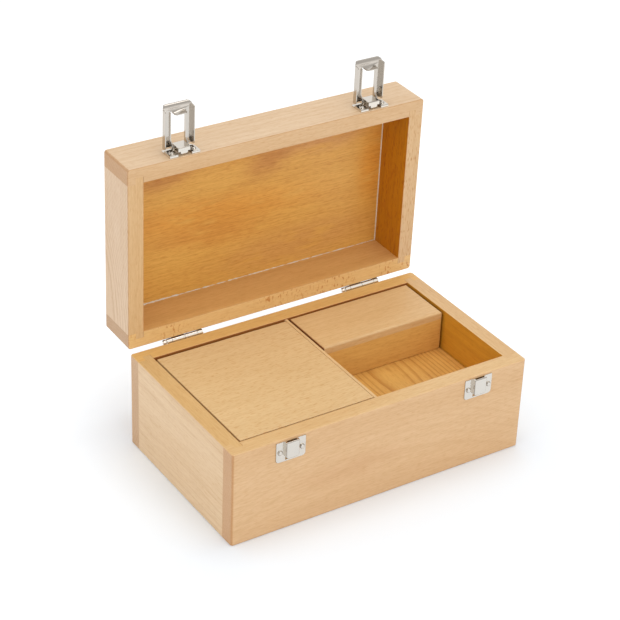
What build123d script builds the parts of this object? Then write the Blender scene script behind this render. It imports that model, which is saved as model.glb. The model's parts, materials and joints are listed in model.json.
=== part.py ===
from build123d import *
import os
from math import cos, radians, sin

os.makedirs("parts", exist_ok=True)

# Wooden case for a set of weights, lid standing open. All sizes are in millimetres.
# X runs along the front, Y from front to back, Z up. The origin is the middle of the underside.

# Case outline
case_width = 280.0
case_depth = 165.0
base_height = 86.0
lid_height = 40.0
wall = 14.0
open_angle = 89.0
rim_gap = 0.2

# Corner joint: a tongue on each end wall sits in a groove in the long walls
tongue = 7.0
tongue_length = 5.5

# Rounding of the wood
corner_round = 2.5
edge_round = 1.0
rim_round = 0.5

# Panels let into the walls
bottom_thickness = 4.0
lid_panel_thickness = 3.0

# Inside of the base
partition_thickness = 2.4
partition_x = 0.9
cover_drop = 1.0
cover_thickness = 5.0
cover_gap = 2.2
cover_side_gap = 0.2
ledge_width = 6.0
ledge_height = 6.0
floor_depth = 37.2
floor_thickness = 4.0
floor_gap = 0.6
bearer_width = 8.0

# Block that the weights stand in, under the cover board
block_height = 32.0
block_gap = 0.3
socket_depth = 20.0
socket_clearance = 1.2
weight_rows = ((38.0, 28.0, 28.0), (22.0, 18.0, 13.0, 13.0, 10.0))
weight_row_spacing = 62.0

# Accessory box
box_width = 53.6
box_drop = 0.5
box_back_gap = 1.0
box_side_gap = 2.2
box_lid_thickness = 7.0
box_wall = 7.0
box_bottom = 6.0
box_round = 2.0
box_arris = 0.8
spigot_depth = 3.0
spigot_clearance = 0.3

# Hinges
hinge_inset = 51.9
hinge_offset = 2.4
hinge_width = 34.0
hinge_leaf_length = 14.0
hinge_sheet = 1.0
barrel_radius = 2.2
hinge_pin_radius = 1.05
hinge_clearance = 0.05
outer_knuckle = 5.0
knuckle_gap = 0.15
pin_head_radius = 2.0
pin_head_length = 3.0
pin_head_gap = 0.5
neck_rise = 1.0
neck_bite = 0.3
leaf_start = 2.4
leaf_round = 1.5

# Nails, domed for the latches and small for the hinges
nail_length = 8.0
nail_radius = 0.8
nail_clearance = 0.05
latch_nail_head = 2.2
latch_nail_dome = 1.3
hinge_nail_head = 1.7
hinge_nail_dome = 0.8
latch_nail_spacing = 20.0
hinge_nail_spacing = 11.5

# Latches
latch_inset = 50.3
latch_shift = 1.5
latch_sheet = 0.8
plate_width = 27.0
catch_height = 18.6
catch_drop = 1.8
catch_round = 3.0
catch_nail_drop = 11.1
bridge_width = 12.0
bridge_rise = 4.0
bridge_bottom = 16.8
bridge_corner = 2.4
bridge_slit = 2.2
bridge_hole_width = 9.0
bridge_hole_depth = 1.9
bend_round = 0.9
sheet_round = 0.3

# Plate that carries a lever, with raised wings and a pressed-up middle for the pivot
latch_base_start = 1.6
wing_width = 7.3
wing_length = 10.4
wing_rise = 1.4
wing_round = 0.6
latch_base_round = 1.5
foot_length = 5.5
latch_nail_height = 6.5
housing_width = 10.6
housing_top = 6.8
housing_front = 3.2
housing_rear = 14.7
housing_mouth = 3.4
housing_arch = 8.6
tab_width = 6.4
tab_lift = 1.0
tab_round = 1.6
pivot_height = 4.6
pivot_rise = 11.5
pivot_radius = 1.1
pivot_clearance = 0.05
pivot_head_radius = 1.7
pivot_head_thickness = 0.5
pivot_head_gap = 0.1
ear_radius = 2.2

# Levers
lever_width = 26.7
lever_face = 3.0
lever_wall_depth = 4.1
lever_start = 1.2
lever_corner = 3.0
wall_round = 2.0
window_width = 12.8
window_flange = 1.2
flange_start = 5.5
lip_width = 11.0
lip_gap = 0.2
lip_clearance = 0.7
lip_corner = 1.5
end_bar = 3.8
curl_radius = 3.2
curl_width = 25.8
curl_turn = 80.0

# Worked-out sizes
tiny = 0.001
inner_width = case_width - 2 * wall
inner_depth = case_depth - 2 * wall
panel_width = inner_width + 2 * tongue
panel_depth = inner_depth + 2 * tongue
half_depth = case_depth / 2
hinge_y = half_depth + hinge_offset
hinge_z = base_height + rim_gap / 2
floor_top = base_height - floor_depth
cover_top = base_height - cover_drop
partition_left = partition_x - partition_thickness / 2
partition_right = partition_x + partition_thickness / 2
nail_hole = nail_radius + nail_clearance
wing_top = wing_rise + latch_sheet
pivot_hole = pivot_radius + pivot_clearance
sides = {"left": -1, "right": 1}

# Frames of the open lid: lid_frame has its origin on the hinge line, Y towards the back of the
# closed lid and Z towards the lid's panel.
slant = radians(open_angle)
lid_frame = Plane(
    origin=(0, hinge_y, hinge_z), x_dir=(1, 0, 0), z_dir=(0, sin(slant), cos(slant))
)


def on_lid(x, y, z):
    """Point of the open lid from its place on the closed lid, seen from the hinge line."""
    return lid_frame.from_local_coords(Vector(x, y, z))


base_rim = Plane(origin=(0, 0, base_height), x_dir=(-1, 0, 0), z_dir=(0, 0, -1))
lid_rim = Plane(
    origin=on_lid(0, -hinge_offset - half_depth, rim_gap / 2),
    x_dir=(1, 0, 0),
    z_dir=lid_frame.z_dir,
)

# Faces that carry the metal: X along the case, Y away from the base's rim or lid's rim, Z outward
base_front = Plane(origin=(0, -half_depth, base_height), x_dir=(1, 0, 0), z_dir=(0, -1, 0))
base_back = Plane(origin=(0, half_depth, base_height), x_dir=(-1, 0, 0), z_dir=(0, 1, 0))
lid_front = Plane(
    origin=on_lid(0, -hinge_offset - case_depth, rim_gap / 2),
    x_dir=(1, 0, 0),
    z_dir=-lid_frame.y_dir,
)
lid_back = Plane(
    origin=on_lid(0, -hinge_offset, rim_gap / 2), x_dir=(-1, 0, 0), z_dir=lid_frame.y_dir
)


def save(piece, name):
    """Label a finished piece and write it to its own file."""
    piece.part.label = name
    export_step(piece.part, f"parts/{name}.step")


def latch_x(side):
    """Middle of a latch along the front."""
    return latch_shift + sides[side] * (case_width / 2 - latch_inset)


def hinge_x(side):
    """Middle of a hinge along the back."""
    return sides[side] * (case_width / 2 - hinge_inset)


# Nail places on each face, as seen on that face
catch_spots = [
    (latch_x(side) + end * latch_nail_spacing / 2, -catch_nail_drop)
    for side in sides
    for end in (-1, 1)
]
latch_spots = [
    (latch_x(side) + end * latch_nail_spacing / 2, latch_nail_height)
    for side in sides
    for end in (-1, 1)
]
hinge_reach = hinge_leaf_length - 5.0
hinge_columns = [
    hinge_x(side) + step * hinge_nail_spacing for side in sides for step in (-1, 0, 1)
]
base_hinge_spots = [(x, -hinge_reach) for x in hinge_columns]
lid_hinge_spots = [(x, hinge_reach) for x in hinge_columns]


# Walls of the base and lid

def outer_edges(piece, rim, level):
    """Edges of a wall that lie on the outside of the case at one level below its rim."""
    def outside(edge):
        spot = rim.to_local_coords(edge.center())
        beyond_x = abs(spot.X) > case_width / 2 - corner_round
        beyond_y = abs(spot.Y) > half_depth - corner_round
        return abs(spot.Z - level) < tiny and (beyond_x or beyond_y)
    return piece.edges().filter_by(outside)


def inner_rim_edges(piece, rim):
    """Long edge of a wall between its rim and the inside of the case."""
    def inside(edge):
        spot = rim.to_local_coords(edge.center())
        along_x = abs(abs(spot.Y) - inner_depth / 2) < tiny and abs(spot.X) < wall
        along_y = abs(abs(spot.X) - inner_width / 2) < tiny and abs(spot.Y) < wall
        return abs(spot.Z) < tiny and (along_x or along_y)
    return piece.edges().filter_by(inside)


def long_wall(rim, height, panel, side, face, nail_spots):
    """Front (side -1) or back (side 1) wall, grooved for the end walls and rebated for the panel."""
    with BuildPart() as piece:
        with BuildSketch(rim) as outline:
            with Locations((0, side * (case_depth - wall) / 2)):
                Rectangle(case_width, wall)
            outer = outline.vertices().sort_by(Axis.Y)[:2]
            if side > 0:
                outer = outline.vertices().sort_by(Axis.Y)[-2:]
            fillet(outer, corner_round)
            groove_x = (inner_width + tongue) / 2
            groove_y = side * (inner_depth + tongue_length) / 2
            with Locations((-groove_x, groove_y), (groove_x, groove_y)):
                Rectangle(tongue, tongue_length, mode=Mode.SUBTRACT)
        extrude(amount=height)
        fillet(outer_edges(piece, rim, 0), edge_round)
        fillet(outer_edges(piece, rim, height), edge_round)
        fillet(inner_rim_edges(piece, rim), rim_round)
        with BuildSketch(rim.offset(height - panel)):
            Rectangle(panel_width, panel_depth)
        extrude(amount=panel, mode=Mode.SUBTRACT)
        with BuildSketch(face):
            with Locations(*nail_spots):
                Circle(nail_hole)
        extrude(amount=-nail_length, mode=Mode.SUBTRACT)
    return piece


def end_wall(rim, height, panel, side):
    """Left or right wall with a tongue at each end; side is its sign along the rim's own X."""
    with BuildPart() as piece:
        with BuildSketch(rim):
            with Locations((side * (case_width - wall) / 2, 0)):
                Rectangle(wall, inner_depth)
            with Locations((side * (inner_width + tongue) / 2, 0)):
                Rectangle(tongue, inner_depth + 2 * tongue_length)
        extrude(amount=height)
        fillet(outer_edges(piece, rim, 0), edge_round)
        fillet(outer_edges(piece, rim, height), edge_round)
        fillet(inner_rim_edges(piece, rim), rim_round)
        with BuildSketch(rim.offset(height - panel)):
            Rectangle(panel_width, panel_depth)
        extrude(amount=panel, mode=Mode.SUBTRACT)
    return piece


def set_in_panel(rim, height, panel):
    """Thin panel that fills the rebate of four walls."""
    with BuildPart() as piece:
        with BuildSketch(rim.offset(height - panel)):
            Rectangle(panel_width, panel_depth)
        extrude(amount=panel)
    return piece


save(long_wall(base_rim, base_height, bottom_thickness, -1, base_front, catch_spots),
     "base_front_wall")
save(long_wall(base_rim, base_height, bottom_thickness, 1, base_back, base_hinge_spots),
     "base_back_wall")
save(long_wall(lid_rim, lid_height, lid_panel_thickness, -1, lid_front, latch_spots),
     "lid_front_wall")
save(long_wall(lid_rim, lid_height, lid_panel_thickness, 1, lid_back, lid_hinge_spots),
     "lid_back_wall")
for side, sign in sides.items():
    save(end_wall(base_rim, base_height, bottom_thickness, -sign), f"base_{side}_wall")
    save(end_wall(lid_rim, lid_height, lid_panel_thickness, sign), f"lid_{side}_wall")
save(set_in_panel(base_rim, base_height, bottom_thickness), "base_bottom_panel")
save(set_in_panel(lid_rim, lid_height, lid_panel_thickness), "lid_panel")


# Fittings inside the base

def board(low_x, high_x, low_y, high_y, low_z, thickness, rounding=0.0):
    """Plain board between four sides, standing on one level."""
    with BuildPart() as piece:
        with BuildSketch(Plane.XY.offset(low_z)):
            with Locations(((low_x + high_x) / 2, (low_y + high_y) / 2)):
                Rectangle(high_x - low_x, high_y - low_y)
        extrude(amount=thickness)
        if rounding:
            fillet(piece.faces().sort_by(Axis.Z)[-1].edges(), rounding)
    return piece


left_x = -inner_width / 2
right_x = inner_width / 2
half_inner = inner_depth / 2

partition = board(
    partition_left, partition_right, -half_inner, half_inner,
    bottom_thickness, cover_top - bottom_thickness,
)
save(partition, "partition")

ledge_top = cover_top - cover_thickness
for name, sign in (("front", -1), ("back", 1)):
    inner_edge = sign * (half_inner - ledge_width)
    wall_edge = sign * half_inner
    ledge = board(
        left_x, partition_left, min(inner_edge, wall_edge), max(inner_edge, wall_edge),
        ledge_top - ledge_height, ledge_height,
    )
    save(ledge, f"cover_ledge_{name}")

cover_board = board(
    left_x + cover_gap, partition_left - cover_side_gap,
    -half_inner + cover_gap, half_inner - cover_gap,
    ledge_top, cover_thickness, rim_round,
)
save(cover_board, "cover_board")

floor_left = partition_right + floor_gap
floor_right = right_x - floor_gap
floor_board = board(
    floor_left, floor_right, -half_inner + floor_gap, half_inner - floor_gap,
    floor_top - floor_thickness, floor_thickness,
)
save(floor_board, "floor_board")

bearer_height = floor_top - floor_thickness - bottom_thickness
for name, sign in (("front", -1), ("back", 1)):
    inner_edge = sign * (half_inner - bearer_width)
    wall_edge = sign * half_inner
    bearer = board(
        floor_left, floor_right, min(inner_edge, wall_edge), max(inner_edge, wall_edge),
        bottom_thickness, bearer_height,
    )
    save(bearer, f"floor_bearer_{name}")

# Weight block: one piece of wood with a flat-bottomed socket for each weight
block_left = left_x + block_gap
block_right = partition_left - block_gap
block_width = block_right - block_left
block_depth = inner_depth - 2 * block_gap
block_top = bottom_thickness + block_height


def row_places(diameters):
    """Middles of a row of sockets with equal wood between them."""
    bores = [diameter + socket_clearance for diameter in diameters]
    web = (block_width - sum(bores)) / (len(bores) + 1)
    place = block_left
    middles = []
    for bore in bores:
        place += web + bore / 2
        middles.append(place)
        place += bore / 2
    return list(zip(middles, bores))


with BuildPart() as weight_block:
    with BuildSketch(Plane.XY.offset(bottom_thickness)):
        with Locations(((block_left + block_right) / 2, 0)):
            Rectangle(block_width, block_depth)
    extrude(amount=block_height)
    with BuildSketch(Plane.XY.offset(block_top)):
        for row, diameters in enumerate(weight_rows):
            for middle, bore in row_places(diameters):
                with Locations((middle, weight_row_spacing / 2 - row * weight_row_spacing)):
                    Circle(bore / 2)
    extrude(amount=-socket_depth, mode=Mode.SUBTRACT)
save(weight_block, "weight_block")

# Accessory box: a body hollowed from one piece, and a loose lid with a spigot
box_right = right_x - box_side_gap
box_left = partition_right + box_side_gap
box_length = box_right - box_left
box_back = half_inner - box_back_gap
box_front = box_back - box_width
box_top = base_height - box_drop
box_body_height = box_top - box_lid_thickness - floor_top
box_middle = ((box_left + box_right) / 2, (box_front + box_back) / 2)
box_inner_length = box_length - 2 * box_wall
box_inner_width = box_width - 2 * box_wall

with BuildPart() as accessory_box:
    with BuildSketch(Plane.XY.offset(floor_top)):
        with Locations(box_middle):
            Rectangle(box_length, box_width)
    extrude(amount=box_body_height)
    fillet(accessory_box.faces().sort_by(Axis.Z)[0].edges(), box_arris)
    with BuildSketch(Plane.XY.offset(floor_top + box_bottom)):
        with Locations(box_middle):
            RectangleRounded(box_inner_length, box_inner_width, box_wall / 2)
    extrude(amount=box_body_height, mode=Mode.SUBTRACT)
save(accessory_box, "accessory_box")

with BuildPart() as accessory_box_lid:
    with BuildSketch(Plane.XY.offset(box_top - box_lid_thickness)):
        with Locations(box_middle):
            Rectangle(box_length, box_width)
    extrude(amount=box_lid_thickness)
    fillet(accessory_box_lid.faces().sort_by(Axis.Z)[-1].edges(), box_round)
    with BuildSketch(Plane.XY.offset(box_top - box_lid_thickness)):
        with Locations(box_middle):
            RectangleRounded(
                box_inner_length - 2 * spigot_clearance,
                box_inner_width - 2 * spigot_clearance,
                box_wall / 2 - spigot_clearance,
            )
    extrude(amount=-spigot_depth)
save(accessory_box_lid, "accessory_box_lid")


# Hinges: two leaves with rolled knuckles on a pin with a rounded head at each end

long_knuckle = hinge_width / 2 - outer_knuckle
knuckle_ends = [
    -hinge_width / 2,
    -long_knuckle,
    0.0,
    long_knuckle,
    hinge_width / 2,
]


def hinge_leaf(middle_x, y_dir, z_sign, first_knuckle, face, spots):
    """Leaf flat on the back, cranked out to the knuckles that start at first_knuckle."""
    section = Plane(origin=(middle_x, hinge_y, hinge_z), x_dir=y_dir, z_dir=(1, 0, 0))
    crank = barrel_radius + neck_rise
    with BuildPart() as leaf:
        with BuildSketch(section.offset(-hinge_width / 2)):
            with Locations((
                -hinge_offset + hinge_sheet / 2,
                z_sign * (leaf_start + hinge_leaf_length) / 2,
            )):
                Rectangle(hinge_sheet, hinge_leaf_length - leaf_start)
        extrude(amount=hinge_width)
        corners = leaf.edges().filter_by(Axis((0, 0, 0), section.x_dir))
        fillet(corners.sort_by(Axis((0, 0, 0), z_sign * section.y_dir))[-2:], leaf_round)
        for index in range(first_knuckle, len(knuckle_ends) - 1, 2):
            start = knuckle_ends[index] + knuckle_gap
            length = knuckle_ends[index + 1] - knuckle_gap - start
            with BuildSketch(section.offset(start)):
                Circle(barrel_radius)
                with BuildLine():
                    Polyline(
                        (-hinge_offset, z_sign * neck_rise),
                        (-barrel_radius + neck_bite, z_sign * neck_rise),
                        (-neck_rise, z_sign * (barrel_radius - neck_bite)),
                        (-hinge_offset + hinge_sheet, z_sign * crank),
                        (-hinge_offset, z_sign * crank),
                        close=True,
                    )
                make_face()
                Circle(hinge_pin_radius + hinge_clearance, mode=Mode.SUBTRACT)
            extrude(amount=length)
        with BuildSketch(face):
            with Locations(*spots):
                Circle(nail_hole)
        extrude(amount=hinge_sheet, mode=Mode.SUBTRACT)
    return leaf


def hinge_pin(middle_x):
    """Pin through the knuckles: a rounded head at its left end, the other end flush."""
    section = Plane(origin=(middle_x, hinge_y, hinge_z), x_dir=(0, 1, 0), z_dir=(1, 0, 0))
    head_start = -hinge_width / 2 - pin_head_gap
    with BuildPart() as pin:
        with BuildSketch(section.offset(head_start)):
            Circle(hinge_pin_radius)
        extrude(amount=hinge_width / 2 - head_start)
        with BuildSketch(section.offset(head_start)):
            Circle(pin_head_radius)
        extrude(amount=-pin_head_length)
        fillet(pin.faces().sort_by(Axis.X)[0].edges(), pin_head_radius * 0.7)
    return pin


for side in sides:
    middle_x = hinge_x(side)
    base_leaf = hinge_leaf(middle_x, (0, 1, 0), -1, 0, base_back, base_hinge_spots)
    lid_leaf = hinge_leaf(middle_x, lid_frame.y_dir, 1, 1, lid_back, lid_hinge_spots)
    save(base_leaf, f"hinge_base_leaf_{side}")
    save(lid_leaf, f"hinge_lid_leaf_{side}")
    save(hinge_pin(middle_x), f"hinge_pin_{side}")


# Nails

def nails(face, spots, sheet, head_radius, dome):
    """Group of nails driven through a sheet on one face, each with a domed head."""
    with BuildPart() as group:
        with BuildSketch(face):
            with Locations(*spots):
                Circle(nail_radius)
        extrude(amount=-nail_length)
        with BuildSketch(face):
            with Locations(*spots):
                Circle(nail_radius)
        extrude(amount=sheet)
        with BuildSketch(face.offset(sheet)):
            with Locations(*spots):
                Circle(head_radius)
        extrude(amount=dome)
        tops = group.faces().filter_by(
            lambda f: abs(face.to_local_coords(f.center()).Z - sheet - dome) < tiny
        )
        fillet(tops.edges(), dome * 0.85)
    return group


save(nails(base_front, catch_spots, latch_sheet, latch_nail_head, latch_nail_dome), "catch_nails")
save(nails(lid_front, latch_spots, wing_top, latch_nail_head, latch_nail_dome), "latch_nails")
save(nails(base_back, base_hinge_spots, hinge_sheet, hinge_nail_head, hinge_nail_dome),
     "hinge_base_nails")
save(nails(lid_back, lid_hinge_spots, hinge_sheet, hinge_nail_head, hinge_nail_dome),
     "hinge_lid_nails")


# Latches: a catch plate on the base, and on the lid a plate with ears that carries the lever

def catch_plate(middle_x):
    """Plate with a drawn bridge, open below for the lever's lip and pierced on top."""
    bridge_middle = -(catch_drop + bridge_bottom) / 2
    bridge_height = bridge_bottom - catch_drop
    hollow_top = -catch_drop - latch_sheet
    slot_bottom = bridge_bottom + bridge_slit
    with BuildPart() as plate:
        with BuildSketch(base_front) as outline:
            with Locations((middle_x, -catch_drop - catch_height / 2)):
                Rectangle(plate_width, catch_height)
            fillet(outline.vertices().sort_by(Axis.Y)[:2], catch_round)
            fillet(outline.vertices().sort_by(Axis.Y)[-2:], edge_round)
        extrude(amount=latch_sheet)
        fillet(plate.edges().filter_by(Plane.XZ).group_by(Axis.Y)[0], sheet_round)
        with BuildSketch(base_front) as bridge:
            with Locations((middle_x, bridge_middle)):
                Rectangle(bridge_width, bridge_height)
            fillet(bridge.vertices().sort_by(Axis.Y)[:2], bridge_corner)
        extrude(amount=bridge_rise)
        fillet(plate.edges().filter_by(Plane.XZ).group_by(Axis.Y)[0], bend_round)
        with BuildSketch(base_front):
            with Locations((middle_x, (hollow_top - slot_bottom) / 2)):
                Rectangle(bridge_width - 2 * latch_sheet, hollow_top + slot_bottom)
        extrude(amount=latch_sheet, mode=Mode.SUBTRACT)
        with BuildSketch(base_front):
            with Locations((middle_x, (hollow_top - bridge_bottom) / 2)):
                Rectangle(bridge_width - 2 * latch_sheet, hollow_top + bridge_bottom)
        extrude(amount=bridge_rise - latch_sheet, mode=Mode.SUBTRACT)
        with BuildSketch(Plane.XY.offset(base_height - catch_drop)):
            with Locations((middle_x, -half_depth - bridge_rise / 2)):
                Rectangle(bridge_hole_width, bridge_hole_depth)
        extrude(amount=-latch_sheet, mode=Mode.SUBTRACT)
        with BuildSketch(base_front):
            with Locations(*[(middle_x + end * latch_nail_spacing / 2, -catch_nail_drop)
                             for end in (-1, 1)]):
                Circle(nail_hole)
        extrude(amount=latch_sheet, mode=Mode.SUBTRACT)
    return plate


def lever_views(middle_x):
    """Side view and face view of a lever, both from the middle of its pivot."""
    reach = -(hinge_offset + case_depth + pivot_height)
    pivot = on_lid(middle_x, reach, rim_gap / 2 + pivot_rise)
    side_view = Plane(origin=pivot, x_dir=-lid_frame.y_dir, z_dir=(-1, 0, 0))
    face_view = Plane(origin=pivot, x_dir=(1, 0, 0), z_dir=lid_frame.z_dir)
    return side_view, face_view


def latch_place(middle_x):
    """Place of a latch on the lid's front face, with its origin on the rim."""
    corner = on_lid(middle_x, -(hinge_offset + case_depth), rim_gap / 2)
    return Plane(origin=corner, x_dir=(1, 0, 0), z_dir=-lid_frame.y_dir)


def latch_base(middle_x):
    """Nailed plate: two raised wings, a foot behind them and a pressed-up housing for the pin."""
    plate_view = latch_place(middle_x)
    profile = Plane(origin=plate_view.origin, x_dir=plate_view.y_dir, z_dir=(1, 0, 0))
    wing_end = latch_base_start + wing_length
    wing_middle = (plate_width - wing_width) / 2
    with BuildPart() as plate:
        with BuildSketch(plate_view):
            for end in (-1, 1):
                with Locations((end * wing_middle, latch_base_start + wing_length / 2)):
                    Rectangle(wing_width, wing_length)
        extrude(amount=wing_top)
        front_edges = plate.edges().filter_by(Axis.X).filter_by(
            lambda e: plate_view.to_local_coords(e.center()).Z > wing_rise
            and plate_view.to_local_coords(e.center()).Y < latch_base_start + tiny
        )
        fillet(front_edges, wing_round)
        with BuildSketch(plate_view):
            for end in (-1, 1):
                with Locations((
                    end * (wing_middle - latch_sheet / 2), latch_base_start + wing_length / 2
                )):
                    Rectangle(wing_width - latch_sheet, wing_length - 2 * latch_sheet)
        extrude(amount=wing_rise, mode=Mode.SUBTRACT)
        with BuildSketch(plate_view.offset(wing_top)):
            with Locations(*[(end * latch_nail_spacing / 2, latch_nail_height)
                             for end in (-1, 1)]):
                Circle(nail_hole)
        extrude(amount=-latch_sheet, mode=Mode.SUBTRACT)
        with BuildSketch(plate_view) as foot:
            with Locations((0, wing_end - latch_sheet + foot_length / 2)):
                Rectangle(plate_width, foot_length)
            fillet(foot.vertices().sort_by(Axis.Y)[-2:], latch_base_round)
        extrude(amount=latch_sheet)
        with BuildSketch(profile.offset(-housing_width / 2)) as housing:
            with BuildLine():
                Polyline(
                    (housing_rear, 0),
                    (housing_rear, housing_top),
                    (housing_front, housing_top),
                    (housing_front, housing_mouth),
                    (housing_arch, housing_mouth),
                    (wing_end - latch_sheet, 0),
                    close=True,
                )
            make_face()
            fillet(housing.vertices().sort_by(Axis.Y)[-2:], bend_round)
        extrude(amount=housing_width)
        front = Plane(
            origin=plate_view.from_local_coords(Vector(0, housing_front, 0)),
            x_dir=(1, 0, 0),
            z_dir=plate_view.y_dir,
        )
        with BuildSketch(front) as tab:
            with Locations((0, -(tab_lift + housing_top) / 2 + bend_round / 2)):
                Rectangle(tab_width, housing_top - bend_round - tab_lift)
            fillet(tab.vertices().sort_by(Axis.Y)[-2:], tab_round)
        extrude(amount=latch_sheet)
        with BuildSketch(profile.offset(latch_sheet - housing_width / 2)):
            with Locations((
                (housing_front + latch_sheet + housing_rear) / 2 + tiny,
                (housing_top - latch_sheet) / 2,
            )):
                Rectangle(housing_rear - housing_front - latch_sheet + 2 * tiny,
                          housing_top - latch_sheet)
        extrude(amount=housing_width - 2 * latch_sheet, mode=Mode.SUBTRACT)
        with BuildSketch(profile.offset(-housing_width / 2)):
            with Locations((pivot_rise, pivot_height)):
                Circle(pivot_hole)
        extrude(amount=housing_width, mode=Mode.SUBTRACT)
    return plate


def latch_lever(middle_x):
    """Pressed lever: rails with outer walls and pivot ears, a lip for the bridge, a curled end."""
    side_view, face_view = lever_views(middle_x)
    lip_place = pivot_rise + bridge_bottom + lip_gap
    bar_end = lip_place + end_bar
    lever_end = bar_end + curl_radius
    face_out = lever_face + latch_sheet
    wall_low = lever_face - lever_wall_depth
    lip_depth = face_out + pivot_height - latch_sheet - lip_clearance
    with BuildPart() as lever:
        with BuildSketch(face_view.offset(wall_low)):
            with Locations((0, (lever_start - bar_end) / 2)):
                Rectangle(lever_width, bar_end + lever_start)
        extrude(amount=lever_wall_depth + latch_sheet)
        long_edges = lever.edges().filter_by(Axis((0, 0, 0), side_view.x_dir))
        fillet(long_edges.sort_by(Axis((0, 0, 0), side_view.y_dir))[-2:], bend_round)
        with BuildSketch(face_view.offset(wall_low)):
            with Locations((0, (lever_start - bar_end) / 2)):
                Rectangle(lever_width - 2 * latch_sheet, bar_end + lever_start + tiny)
        extrude(amount=lever_wall_depth, mode=Mode.SUBTRACT)
        with BuildSketch(face_view.offset(lever_face)):
            with Locations((0, (lever_start - lip_place - latch_sheet) / 2)):
                Rectangle(window_width, lip_place + latch_sheet + lever_start)
        extrude(amount=latch_sheet, mode=Mode.SUBTRACT)
        corners = lever.edges().filter_by(Axis.X).filter_by(
            lambda e: side_view.to_local_coords(e.center()).Y < wall_low + tiny
        )
        fillet(corners, wall_round)
        curl_middle = (bar_end, lever_face + curl_radius)
        with BuildSketch(side_view.offset(-curl_width / 2)):
            with BuildLine():
                inner = CenterArc(curl_middle, curl_radius - latch_sheet, -90, curl_turn)
                outer = CenterArc(curl_middle, curl_radius, -90, curl_turn)
                Line(inner @ 0, outer @ 0)
                Line(inner @ 1, outer @ 1)
            make_face()
        extrude(amount=curl_width)
        for start in (-window_width / 2 - latch_sheet, window_width / 2):
            with BuildSketch(side_view.offset(start)):
                with BuildLine():
                    Polyline(
                        (-lever_start, face_out),
                        (lip_place, face_out),
                        (lip_place, lever_face - window_flange),
                        (flange_start, lever_face - window_flange),
                        (ear_radius * sin(radians(50)), -ear_radius * cos(radians(50))),
                        (-ear_radius, 0),
                        close=True,
                    )
                make_face()
                with Locations((0, 0)):
                    Circle(ear_radius)
                    Circle(pivot_hole, mode=Mode.SUBTRACT)
            extrude(amount=latch_sheet)
        with BuildSketch(Plane(
            origin=side_view.from_local_coords(Vector(lip_place, 0, 0)),
            x_dir=(1, 0, 0),
            z_dir=side_view.x_dir,
        )) as lip:
            with Locations((0, lip_depth / 2 - face_out)):
                Rectangle(lip_width, lip_depth)
            chamfer(lip.vertices().sort_by(Axis.Y)[:2], lip_corner)
        extrude(amount=latch_sheet)
        with BuildSketch(face_view.offset(-pivot_height)) as outline:
            with Locations((0, (ear_radius - lever_end) / 2)):
                Rectangle(lever_width, lever_end + ear_radius)
            fillet(outline.vertices().sort_by(Axis.Y)[:2], lever_corner)
        extrude(amount=pivot_height + lever_face + curl_radius, mode=Mode.INTERSECT)
    return lever


def latch_pin(middle_x):
    """Pivot pin through the housing and both ears of the lever, with a flat head at each end."""
    side_view = lever_views(middle_x)[0]
    head_start = window_width / 2 + latch_sheet + pivot_head_gap
    with BuildPart() as pin:
        with BuildSketch(side_view.offset(-head_start)):
            Circle(pivot_radius)
        extrude(amount=2 * head_start)
        for sign in (-1, 1):
            with BuildSketch(side_view.offset(sign * head_start)):
                Circle(pivot_head_radius)
            extrude(amount=sign * pivot_head_thickness)
    return pin


for side in sides:
    middle_x = latch_x(side)
    save(catch_plate(middle_x), f"catch_plate_{side}")
    save(latch_base(middle_x), f"latch_base_{side}")
    save(latch_lever(middle_x), f"latch_lever_{side}")
    save(latch_pin(middle_x), f"latch_pin_{side}")
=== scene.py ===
import json
import math

import bpy
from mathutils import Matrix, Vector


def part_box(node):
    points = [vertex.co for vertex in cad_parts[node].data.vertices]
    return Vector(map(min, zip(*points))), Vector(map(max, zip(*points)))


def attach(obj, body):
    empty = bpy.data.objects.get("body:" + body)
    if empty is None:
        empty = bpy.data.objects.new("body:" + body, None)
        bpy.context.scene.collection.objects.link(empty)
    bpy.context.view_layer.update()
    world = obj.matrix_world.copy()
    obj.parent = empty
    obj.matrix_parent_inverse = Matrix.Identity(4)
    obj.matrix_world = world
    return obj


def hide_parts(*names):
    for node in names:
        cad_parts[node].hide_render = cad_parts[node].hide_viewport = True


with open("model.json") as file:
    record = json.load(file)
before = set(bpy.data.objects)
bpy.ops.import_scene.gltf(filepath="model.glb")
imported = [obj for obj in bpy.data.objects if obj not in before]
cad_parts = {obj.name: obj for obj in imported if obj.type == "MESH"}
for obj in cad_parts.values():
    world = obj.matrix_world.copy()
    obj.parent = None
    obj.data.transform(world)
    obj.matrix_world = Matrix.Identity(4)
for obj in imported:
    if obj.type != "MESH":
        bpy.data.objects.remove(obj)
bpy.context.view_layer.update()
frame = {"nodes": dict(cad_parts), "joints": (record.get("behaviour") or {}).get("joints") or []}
scene = bpy.context.scene
joints = {joint["name"]: joint for joint in frame["joints"]}

# Base walls
# Four planed beech boards under clear varnish. The long ones run through, with their end grain
# showing at the sides, and the end walls stand between them on glued tongues.
inner_half_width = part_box("base_right_wall")[0].x
inner_half_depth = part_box("base_back_wall")[0].y
hinge_y, hinge_z = joints["lid_hinge"]["pos_m"][1:]
opened = math.radians(joints["lid_hinge"]["range_deg"][1])


def linear(shade):
    """Linear colour of an sRGB colour given from 0 to 255."""
    parts = []
    for value in shade:
        value /= 255
        parts.append(value / 12.92 if value <= 0.04045 else ((value + 0.055) / 1.055) ** 2.4)
    return (*parts, 1.0)


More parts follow.
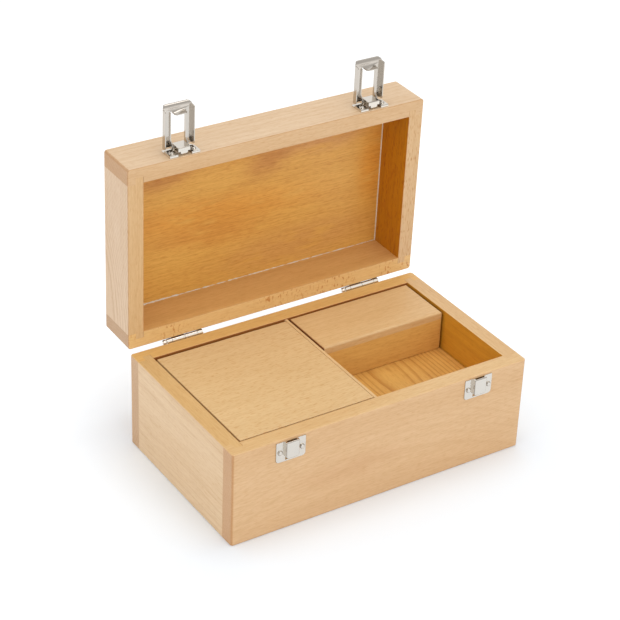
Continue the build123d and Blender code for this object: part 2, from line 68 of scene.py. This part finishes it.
class Finish:
    """A material or the world, with short calls that add and join its nodes."""

    def __init__(self, owner):
        owner.use_nodes = True
        self.owner = owner
        self.nodes = owner.node_tree.nodes
        self.links = owner.node_tree.links

    def add(self, kind, inputs=None, **settings):
        node = self.nodes.new(kind)
        for key, value in settings.items():
            setattr(node, key, value)
        self.put(node, inputs or {})
        return node

    def put(self, node, inputs):
        for key, value in inputs.items():
            if isinstance(value, bpy.types.NodeSocket):
                self.links.new(value, node.inputs[key])
            else:
                node.inputs[key].default_value = value

    def surface(self, inputs):
        self.put(self.nodes["Principled BSDF"], inputs)

    def math(self, operation, *values):
        return self.add("ShaderNodeMath", dict(enumerate(values)), operation=operation).outputs[0]

    def times(self, *values):
        result = values[0]
        for value in values[1:]:
            result = self.math("MULTIPLY", result, value)
        return result

    def largest(self, first, second, third):
        return self.math("MAXIMUM", first, self.math("MAXIMUM", second, third))

    def between(self, value, low, high):
        """low where value is 0, high where it is 1 and even between."""
        return self.add("ShaderNodeMapRange", {0: value, 3: low, 4: high}).outputs[0]

    def step(self, value, low, high):
        """0 below low, 1 above high and smooth between; the other way where low is the higher."""
        flip = low > high
        return self.add("ShaderNodeMapRange", {
            0: value, 1: min(low, high), 2: max(low, high), 3: float(flip), 4: float(not flip)},
            interpolation_type="SMOOTHSTEP").outputs[0]

    def noise(self, vector, scale, detail, distortion=0.0):
        return self.add("ShaderNodeTexNoise", {
            "Vector": vector, "Scale": scale, "Detail": detail,
            "Distortion": distortion}).outputs["Fac"]

    def mix(self, factor, first, second, blend="MIX"):
        return self.add("ShaderNodeMix", {0: factor, 6: first, 7: second}, data_type="RGBA",
                        blend_type=blend).outputs[2]

    def split(self, vector):
        return list(self.add("ShaderNodeSeparateXYZ", {0: vector}).outputs)

    def bump(self, height, strength):
        return self.add("ShaderNodeBump", {
            "Strength": strength, "Distance": 0.0002, "Height": height}).outputs[0]


def laid_out(wood, on_lid):
    """Place and facing of the points of a board. Those of the lid are given as on the shut lid
    and measured from the hinge axis."""
    place = wood.add("ShaderNodeTexCoord")
    point, facing = place.outputs["Object"], place.outputs["Normal"]
    if on_lid:
        cosine, sine = math.cos(opened), math.sin(opened)
        point = wood.add("ShaderNodeMapping", {
            "Vector": point, "Rotation": (opened, 0, 0),
            "Location": (0, hinge_z * sine - hinge_y * cosine,
                         -hinge_y * sine - hinge_z * cosine)}).outputs[0]
        facing = wood.add("ShaderNodeMapping", {"Vector": facing, "Rotation": (opened, 0, 0)},
                          vector_type="NORMAL").outputs[0]
    return point, wood.split(facing)


def patch_amount(wood, point, middle, reach, turn):
    """1 around middle, fading to 0 at reach from it; turn is about Z, in degrees."""
    local = wood.add("ShaderNodeMapping", {
        "Vector": point, "Location": middle, "Rotation": (0, 0, math.radians(turn)),
        "Scale": reach}, vector_type="TEXTURE").outputs[0]
    away = wood.add("ShaderNodeVectorMath", {0: local}, operation="LENGTH").outputs["Value"]
    return wood.step(away, 1.0, 0.15)


def late_wood(wood, along, across, deep, sway, pith, bow):
    """The dark part of each year ring, round a pith that bow bends into arches along the board."""
    rings_per_metre = 300.0
    lift = wood.times(wood.math("POWER", wood.math("ABSOLUTE", along), 2.0), bow)
    beside = wood.math("SUBTRACT", across, pith[0])
    above = wood.math("ADD", wood.math("ADD", wood.math("SUBTRACT", deep, pith[1]), sway), lift)
    radius = wood.math("SQRT", wood.math("ADD", wood.times(beside, beside),
                                         wood.times(above, above)))
    ring = wood.math("FRACT", wood.times(radius, rings_per_metre))
    return wood.times(wood.step(ring, 0.45, 0.92), wood.step(ring, 1.0, 0.93))


def beech(name, grain, face, rim=None, inside=None, ends=None, on_lid=False, pith=(0.1, 0.05),
          bow=0.0, rings=0.35, bands=0.35, fibre=0.4, flecks=0.22, blotches=0.0, arris=0.7,
          patches=()):
    """Beech under clear varnish. grain is the axis along the fibres. The colours are those of
    the outside, of the edge where base and lid meet, of what faces into the case and of the end
    grain. pith is the middle of the year rings, across and through the board. rings to arris
    say how strongly each mark shows. A patch is (middle, reach, turn, colour, strength)."""
    wood = Finish(bpy.data.materials.new(name))
    point, facing = laid_out(wood, on_lid)
    spot = wood.split(point)
    sizes = [wood.math("ABSOLUTE", part) for part in facing]
    order = {"X": (0, 1, 2), "Y": (1, 0, 2)}[grain]
    along, across, deep = (spot[i] for i in order)
    fibres = wood.add("ShaderNodeCombineXYZ", {0: along, 1: across, 2: deep}).outputs[0]

    def streaks(length, width, detail=2.0, distortion=0.0):
        """Noise drawn out along the fibres, its marks of this length and width in metres."""
        drawn = wood.add("ShaderNodeMapping", {
            "Vector": fibres, "Scale": (1 / length, 1 / width, 1 / width)}).outputs[0]
        return wood.noise(drawn, 1.0, detail, distortion)

    # colour of each side of the board
    tone = linear(face)
    rim_face = 0.0
    if inside:
        skin = 0.00015
        middle_y = wood.math("ADD", spot[1], hinge_y if on_lid else 0.0)
        within = wood.times(
            wood.math("LESS_THAN", wood.math("ABSOLUTE", spot[0]), inner_half_width + skin),
            wood.math("LESS_THAN", wood.math("ABSOLUTE", middle_y), inner_half_depth + skin))
        tone = wood.mix(within, tone, linear(inside))
    if rim:
        toward_rim = wood.math("MULTIPLY", facing[2], -1.0) if on_lid else facing[2]
        rim_face = wood.step(toward_rim, 0.6, 0.9)
        tone = wood.mix(rim_face, tone, linear(rim))
    end_face = wood.step(sizes[order[0]], 0.75, 0.95)
    if ends:
        tone = wood.mix(end_face, tone, linear(ends))
    for middle, reach, turn, shade, strength in patches:
        ragged = wood.step(streaks(0.03, 0.008, 3.0), 0.20, 0.50)
        amount = patch_amount(wood, point, middle, reach, turn)
        if on_lid:
            amount = wood.times(amount, rim_face)
        tone = wood.mix(wood.times(amount, ragged, strength), tone, linear(shade))

    # broad bands, long and short fibres, year rings and the short brown rays of beech
    sway = wood.times(wood.math("SUBTRACT", streaks(0.16, 0.05), 0.5), 0.014)
    late = late_wood(wood, along, across, deep, sway, pith, bow)
    broad = wood.step(streaks(0.22, 0.022), 0.32, 0.68)
    fine = streaks(0.030, 0.0011, 3.0, 0.2)
    short = wood.step(streaks(0.0070, 0.0012, 2.0, 0.3), 0.40, 0.70)
    ray = wood.step(streaks(0.0050, 0.00080, 0.0), 0.60, 0.76)
    off_rim = wood.math("SUBTRACT", 1.0, rim_face)
    off_ends = wood.math("SUBTRACT", 1.0, end_face)
    marks = [(wood.times(broad, bands), (0.88, 0.80, 0.68, 1)),
             (wood.times(wood.step(fine, 0.35, 0.75), fibre), (0.84, 0.75, 0.62, 1)),
             (wood.times(short, fibre), (0.88, 0.81, 0.70, 1)),
             (wood.times(late, rings, off_rim), (0.80, 0.69, 0.56, 1)),
             (wood.times(ray, flecks, off_ends), (0.74, 0.50, 0.25, 1))]
    if blotches:
        specks = wood.step(streaks(0.0022, 0.0050, 2.0, 0.6), 0.57, 0.66)
        groups = wood.step(streaks(0.040, 0.05, 1.0), 0.42, 0.60)
        marks.append((wood.times(specks, groups, blotches, rim_face), (0.66, 0.34, 0.08, 1)))

    # painted shade on the rounded edges: darker and warmer, and on the base only on edges that
    # don't face up
    rounded = wood.step(wood.largest(*sizes), 0.985, 0.80)
    not_top = 1.0 if on_lid else wood.step(facing[2], 0.45, 0.15)
    marks.append((wood.times(rounded, arris, not_top), (0.68, 0.48, 0.28, 1)))
    for amount, shade in marks:
        tone = wood.mix(amount, tone, shade, "MULTIPLY")
    wood.surface({"Base Color": tone, "Roughness": wood.between(fine, 0.40, 0.54),
                  "Coat Weight": 0.12, "Coat Roughness": 0.30, "Normal": wood.bump(fine, 0.3)})
    return wood.owner


def give(material, *names):
    """Put one material on the named nodes."""
    for name in names:
        mesh = frame["nodes"][name].data
        mesh.materials.clear()
        mesh.materials.append(material)


pale_figure = ((-0.03, -0.0825, 0.036), (0.075, 0.05, 0.016), 0, (212, 165, 118), 0.5)
give(beech("front_wall_beech", "X", face=(224, 185, 139), rim=(222, 186, 133),
           ends=(208, 164, 120), pith=(0.02, 0.010), bow=2.0, rings=0.14,
           patches=[pale_figure]), "base_front_wall")
give(beech("back_wall_beech", "X", face=(229, 191, 148), rim=(228, 185, 115),
           ends=(208, 170, 130), inside=(166, 104, 46), pith=(0.120, 0.03)), "base_back_wall")
give(beech("left_wall_beech", "Y", face=(232, 201, 161), rim=(219, 182, 125),
           pith=(-0.20, 0.05), rings=0.25), "base_left_wall")
give(beech("right_wall_beech", "Y", face=(229, 198, 161), rim=(220, 184, 133),
           inside=(218, 160, 48), pith=(0.20, 0.05), rings=0.3), "base_right_wall")

# Bottom panel
# A plain beech board, glued into a rebate in the four walls so that it lies flush with their
# underside.
give(beech("bottom_panel_beech", "X", face=(216, 174, 126), pith=(0.02, 0.10)),
     "base_bottom_panel")

# Partition and cover ledges
# A thin upright beech board between the weights and the open compartment, and the two beech
# strips, glued to the long walls, that the cover board lies on.
give(beech("partition_beech", "Y", face=(228, 194, 144), pith=(0.05, 0.02), arris=0.0),
     "partition", "cover_ledge_front", "cover_ledge_back")

# Weight block
# Solid beech on the bottom panel, with a flat-bottomed socket bored for each weight. The cover
# board hides it.
give(beech("block_beech", "X", face=(216, 172, 120), pith=(0.03, -0.04)), "weight_block")

# Raised floor
# A thin beech board in the open compartment, its grain from front to back, on two strips that
# are glued along the long walls.
give(beech("floor_beech", "Y", face=(229, 179, 95), pith=(0.065, 0.02), bow=1.0, rings=1.0,
           bands=0.6, flecks=0.3), "floor_board", "floor_bearer_front", "floor_bearer_back")

# Accessory box and its lid
# A box hollowed from one piece of beech. Its loose lid has rounded edges and a spigot that
# drops into the hollow.
give(beech("box_beech", "X", face=(230, 184, 104), ends=(140, 84, 40), pith=(0.10, 0.02),
           rings=0.15, bands=0.4, flecks=0.3), "accessory_box")
give(beech("box_lid_beech", "X", face=(223, 187, 135), ends=(150, 92, 46), pith=(0.10, 0.02),
           rings=0.12, bands=0.3, flecks=0.2), "accessory_box_lid")

# Cover board
# A loose planed beech board that lies over the weights and lifts out by hand, with brown dashes
# along its grain.
give(beech("cover_beech", "X", face=(224, 192, 142), pith=(0.0, 0.20), rings=0.08, bands=0.2,
           fibre=0.35, flecks=0.45), "cover_board")

# Lid walls
# Beech boards like those of the base, 40 mm high, jointed the same way. Thicker varnish ran
# down their inner faces and left them orange-brown.
give(beech("lid_front_beech", "X", face=(219, 190, 155), rim=(221, 185, 141),
           ends=(201, 159, 115), on_lid=True, pith=(-0.25, -0.03), rings=0.2), "lid_front_wall")
give(beech("lid_back_beech", "X", face=(229, 191, 148), rim=(236, 197, 135),
           inside=(225, 179, 113), ends=(196, 158, 119), on_lid=True, pith=(0.06, 0.01),
           rings=0.2, blotches=0.8), "lid_back_wall")
give(beech("lid_left_beech", "Y", face=(226, 198, 167), rim=(223, 187, 139), on_lid=True,
           pith=(-0.158, 0.031), bow=-2.5, rings=0.6), "lid_left_wall")
give(beech("lid_right_beech", "Y", face=(229, 198, 161), rim=(222, 186, 139),
           inside=(195, 128, 1), on_lid=True, pith=(0.20, 0.05), rings=0.3, flecks=0.8),
     "lid_right_wall")


# Lid panel
# A thin beech board, glued into a rebate at the top of the lid. Its inner face took the varnish
# unevenly and is orange in streaks and patches.
def varnish_patch(x, y, half_length, half_width, shade, strength, turn=0):
    """A patch on the inner face of the panel, its middle measured from the hinge axis."""
    inner_face_z = 0.037
    return (x, y, inner_face_z), (half_length, half_width, 0.02), turn, shade, strength


varnish_patches = [varnish_patch(0.120, -0.095, 0.024, 0.050, (228, 150, 40), 0.6),
                   varnish_patch(-0.04, -0.087, 0.150, 0.024, (226, 156, 60), 0.7, turn=3),
                   varnish_patch(-0.04, -0.066, 0.090, 0.018, (212, 138, 52), 0.5, turn=4),
                   varnish_patch(-0.09, -0.135, 0.045, 0.025, (190, 126, 66), 0.7),
                   varnish_patch(0.015, -0.125, 0.040, 0.022, (188, 120, 58), 0.6, turn=-20),
                   varnish_patch(0.070, -0.135, 0.060, 0.022, (214, 160, 106), 0.7),
                   varnish_patch(0.040, -0.035, 0.120, 0.030, (216, 160, 94), 0.6)]
give(beech("lid_panel_beech", "X", face=(228, 198, 160), rim=(229, 176, 86), on_lid=True,
           pith=(-0.07, 0.20), rings=0.15, bands=0.5, fibre=0.7, flecks=0.3,
           patches=varnish_patches), "lid_panel")

# Glue line
# White glue that squeezed out and dried where the panel meets the walls of the lid: a lumpy,
# broken bead along the hinge side, thickest at its left end, and a finer one up the right end.
glue = Finish(bpy.data.materials.new("dried_glue"))
glue_clouds = glue.noise(glue.add("ShaderNodeTexCoord").outputs["Object"], 300.0, 2.0)
glue.surface({"Base Color": glue.mix(glue_clouds, linear((236, 228, 214)),
                                     linear((206, 190, 166))),
              "Roughness": 0.45})
glue_lumps = bpy.data.textures.new("glue_lumps", "CLOUDS")
glue_lumps.noise_scale = 0.0035
glue_lumps.noise_depth = 1


def bead(start, end, radius, lump):
    """One run of glue from start to end, a rod made lumpy all over."""
    span = [b - a for a, b in zip(start, end)]
    length = math.sqrt(sum(part * part for part in span))
    bpy.ops.object.select_all(action="DESELECT")
    bpy.ops.mesh.primitive_cylinder_add(
        vertices=10, radius=radius, depth=length,
        location=[(a + b) / 2 for a, b in zip(start, end)],
        rotation=(0, math.acos(span[2] / length), math.atan2(span[1], span[0])))
    run = bpy.context.active_object
    bpy.ops.object.mode_set(mode="EDIT")
    bpy.ops.mesh.select_all(action="DESELECT")
    bpy.ops.mesh.select_mode(type="EDGE")
    bpy.ops.object.mode_set(mode="OBJECT")
    points = run.data.vertices
    for edge in run.data.edges:
        first, last = (points[i].co.z for i in edge.vertices)
        edge.select = abs(first - last) > length / 2
    bpy.ops.object.mode_set(mode="EDIT")
    bpy.ops.mesh.subdivide(number_cuts=100)
    bpy.ops.mesh.select_mode(type="VERT")
    bpy.ops.object.mode_set(mode="OBJECT")
    bpy.ops.object.transform_apply(location=True, rotation=True, scale=True)
    swell = run.modifiers.new("lumps", "DISPLACE")
    swell.texture = glue_lumps
    swell.strength = lump
    swell.mid_level = 0.5
    bpy.ops.object.modifier_apply(modifier="lumps")
    bpy.ops.object.shade_smooth()
    run.data.materials.append(glue.owner)
    return run


corner_y, corner_z = 0.1216, 0.1032
right_end, right_top_y, right_top_z = 0.1260, 0.1192, 0.2400
glue_runs = [bead((left, corner_y, corner_z), (right, corner_y, corner_z), radius, lump)
             for left, right, radius, lump in ((-0.1260, -0.1010, 0.0010, 0.0018),
                                               (-0.1010, -0.0740, 0.0008, 0.0016),
                                               (-0.0740, 0.0260, 0.0004, 0.0014),
                                               (0.0260, right_end, 0.0004, 0.0014))]
glue_runs.append(bead((right_end, corner_y, corner_z), (right_end, right_top_y, right_top_z),
                      0.0007, 0.0004))
bpy.ops.object.select_all(action="DESELECT")
for run in glue_runs:
    run.select_set(True)
bpy.context.view_layer.objects.active = glue_runs[0]
bpy.ops.object.join()
glue_bead = bpy.context.active_object
glue_bead.name = glue_bead.data.name = "glue_bead"
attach(glue_bead, "lid")


# Hinges
# Two leaves each, rolled from nickel-plated steel sheet round a pin with one head, and nailed
# to the outside of the back walls. Painted shade darkens the barrels where they meet the wood,
# and their bends and undersides carry a painted dark reflection and painted shade.
def nickel(name, bright, bend_shade, bend_shade_depth, under_shade, under_shade_depth, barrel_shade_depth=0.0):
    """Nickel plate. The colour for the bends is a painted dark reflection, and the one for what
    faces down is painted shade, each with how strongly it shows. The last number, given by name,
    paints shade on the upper back of a barrel."""
    plate = Finish(bpy.data.materials.new(name))
    place = plate.add("ShaderNodeTexCoord")
    facing = plate.split(place.outputs["Normal"])
    flatness = plate.largest(*(plate.math("ABSOLUTE", part) for part in facing))
    # painted dark reflection in the bends, where the normal leaves the axes
    tone = plate.mix(plate.times(plate.step(flatness, 0.995, 0.86), bend_shade_depth),
                     linear(bright), linear(bend_shade))
    # painted shade on the faces that point down
    tone = plate.mix(plate.times(plate.step(facing[2], -0.1, -0.8), under_shade_depth),
                     tone, linear(under_shade))
    # painted shade on the upper back of a barrel, where it meets the wood
    if barrel_shade_depth:
        upper_back = plate.times(plate.step(facing[2], 0.30, 0.60),
                                 plate.step(facing[1], -0.45, -0.10))
        tone = plate.mix(plate.times(upper_back, barrel_shade_depth), tone, linear((72, 50, 38)))
    cloud = plate.noise(place.outputs["Object"], 900.0, 3.0)
    wave = plate.noise(place.outputs["Object"], 260.0, 2.0)
    plate.surface({"Base Color": tone, "Metallic": 1.0,
                   "Roughness": plate.between(cloud, 0.08, 0.22),
                   "Normal": plate.bump(wave, 0.15)})
    return plate.owner


# the hinge barrels get painted shade on their upper back, where they meet the wood
hinge_nickel = nickel("hinge_nickel", (236, 230, 220), (222, 214, 202), 0.3, (110, 86, 66), 0.6,
                      barrel_shade_depth=0.85)
give(hinge_nickel, *(name for name in frame["nodes"] if name.startswith("hinge_")))

# Latch and catch plates
# Pressed from steel sheet and nickel-plated, bright on the flats, with a painted dark reflection
# in the bends and painted shade on what faces down. The latch plates are nailed to the lid, and
# the catch plates, with a raised bridge, to the base.
latch_nickel = nickel("latch_nickel", (220, 213, 203), (92, 84, 76), 0.5, (120, 108, 96), 0.5)
give(latch_nickel, *(name for name in frame["nodes"] if name.startswith(("latch_", "catch_"))))

# Latch levers
# Each is pressed from one piece of sheet with its end curled back for the thumb. The press
# rounds the corners of the curl, so a copy of the CAD lever gets those corners cut round.
# the lever's nickel gets a painted dark reflection in its bends and painted shade on what faces
# down
lever_nickel = nickel("lever_nickel", (198, 191, 182), (112, 104, 96), 0.45, (90, 80, 70), 0.65)
lever_half_width = 0.01335
lever_reach = 0.03545
corner_round = 0.0044
lean = math.radians(90) - opened
for side in ("left", "right"):
    pivot_x, pivot_y, pivot_z = joints[side + "_lever_pivot"]["pos_m"]
    lever = bpy.data.objects.new("thumb_lever_" + side,
                                 frame["nodes"]["latch_lever_" + side].data.copy())
    lever.data.name = lever.name
    scene.collection.objects.link(lever)
    bpy.ops.object.select_all(action="DESELECT")
    lever.select_set(True)
    bpy.context.view_layer.objects.active = lever
    bpy.ops.object.mode_set(mode="EDIT")
    bpy.ops.mesh.select_all(action="SELECT")
    bpy.ops.mesh.remove_doubles(threshold=0.000002)
    for hand in (-1, 1):
        for angle in (15, 35, 55, 75):
            out, rise = math.cos(math.radians(angle)), math.sin(math.radians(angle))
            from_middle = lever_half_width - corner_round + corner_round * out
            from_pivot = lever_reach - corner_round + corner_round * rise
            bpy.ops.mesh.select_all(action="SELECT")
            bpy.ops.mesh.bisect(
                plane_co=(pivot_x + hand * from_middle,
                          pivot_y - math.sin(lean) * from_pivot,
                          pivot_z + math.cos(lean) * from_pivot),
                plane_no=(hand * out, -math.sin(lean) * rise, math.cos(lean) * rise),
                use_fill=True, clear_outer=True)
    bpy.ops.object.mode_set(mode="OBJECT")
    bpy.ops.object.shade_smooth_by_angle(angle=math.radians(12))
    even = lever.modifiers.new("even_flats", "WEIGHTED_NORMAL")
    even.keep_sharp = True
    even.weight = 100
    bpy.ops.object.modifier_apply(modifier="even_flats")
    lever.data.materials.clear()
    lever.data.materials.append(lever_nickel)
    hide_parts("latch_lever_" + side)
    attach(lever, side + " lever")


# Table and backdrop
# A white table that keeps the case's soft shadow, in a white room that lights it softly. The
# glow that makes both look pure white shows only to the camera and in reflections.
def seen_directly(look):
    """1 for a ray from the camera, a reflection or through glass, and 0 for the others."""
    path = look.add("ShaderNodeLightPath").outputs
    return look.largest(path["Is Transmission Ray"], path["Is Camera Ray"],
                        path["Is Glossy Ray"])


bpy.ops.object.select_all(action="DESELECT")
bpy.ops.mesh.primitive_plane_add(size=6.0, location=(0, 0, -0.0001))
table = bpy.context.active_object
table.name = "table_top"
table_white = Finish(bpy.data.materials.new("table_white"))
table_place = table_white.add("ShaderNodeTexCoord").outputs["Object"]
away_from_case = table_white.add("ShaderNodeVectorMath", {0: table_place, 1: (-0.02, -0.10, 0)},
                                 operation="DISTANCE").outputs["Value"]
# The glow is weakest round the front left of the case, a painted shade that lets its shadow show
# there, and near the case the table is tinted blue, painted against the warm light the wood throws
# onto it.
shadow_edge, white_edge = 0.17, 0.36
near_glow, far_glow = 0.04, 0.22
glow = table_white.add("ShaderNodeMapRange", {
    0: away_from_case, 1: shadow_edge, 2: white_edge, 3: near_glow, 4: far_glow}).outputs[0]
near_white, far_white = (0.88, 0.925, 0.97, 1), (0.93, 0.93, 0.93, 1)
table_white.surface({
    "Base Color": table_white.mix(table_white.step(away_from_case, 0.20, 0.60), near_white,
                                  far_white),
    "Roughness": 0.9, "Specular IOR Level": 0.0, "Emission Color": (1, 1, 1, 1),
    "Emission Strength": table_white.times(seen_directly(table_white), glow)})
table.data.materials.append(table_white.owner)

room = Finish(bpy.data.worlds.new("studio"))
scene.world = room.owner
room_fill = room.nodes["Background"]
room.put(room_fill, {"Color": (1, 1, 1, 1), "Strength": 0.80})
backdrop = room.add("ShaderNodeBackground", {"Color": (1, 1, 1, 1)})
room_mix = room.add("ShaderNodeMixShader", {
    0: seen_directly(room), 1: room_fill.outputs[0], 2: backdrop.outputs[0]})
room.put(room.nodes["World Output"], {"Surface": room_mix.outputs[0]})


# Lamps and dark card
# Soft lamps from above, from the left and from behind the camera. The card stands behind the
# camera too, is seen only by the metal and gives the nickel its dark edges.
def soft_lamp(name, place, aim, size, power):
    """Square area lamp at place, turned to aim."""
    data = bpy.data.lights.new(name, "AREA")
    data.size = size
    data.energy = power
    lamp = bpy.data.objects.new(name, data)
    scene.collection.objects.link(lamp)
    lamp.location = place
    away = [a - b for a, b in zip(place, aim)]
    flat = math.hypot(away[0], away[1])
    lamp.rotation_euler = (math.atan2(flat, away[2]), 0, math.atan2(away[0], -away[1]))


soft_lamp("overhead", place=(0.15, 0.10, 1.5), aim=(0, 0, 0), size=0.8, power=5.0)
soft_lamp("left_side", place=(-1.4, -0.1, 0.8), aim=(0, 0, 0.1), size=0.7, power=2.5)
soft_lamp("front", place=(0.1, -1.6, 0.7), aim=(0, 0, 0.1), size=0.9, power=5.0)

bpy.ops.object.select_all(action="DESELECT")
bpy.ops.mesh.primitive_plane_add(size=1.5, location=(-1.25, -1.85, 1.45),
                                 rotation=(1.03, 0, -0.5940))
card = bpy.context.active_object
card.name = "dark_card"
card_black = Finish(bpy.data.materials.new("card_black"))
card_black.surface({"Base Color": (0.01, 0.01, 0.01, 1), "Roughness": 1.0})
card.data.materials.append(card_black.owner)
for ray_kind in ("camera", "diffuse", "transmission", "volume_scatter", "shadow"):
    setattr(card, "visible_" + ray_kind, False)

# Camera
# Fitted to the edges of the case in the photo, which was taken from the front left and from
# above, with a long lens.
camera_data = bpy.data.cameras.new("camera")
camera_data.sensor_width = 36.0
camera_data.lens = 113.28436933
camera_data.clip_start = 0.05
camera_data.clip_end = 20.0
camera = bpy.data.objects.new("camera", camera_data)
scene.collection.objects.link(camera)
camera.location = (-0.76247181, -1.11578884, 0.93882008)
camera.rotation_euler = (1.03097211, -0.03526815, -0.56562794)
scene.camera = camera
scene.view_settings.view_transform = "Standard"
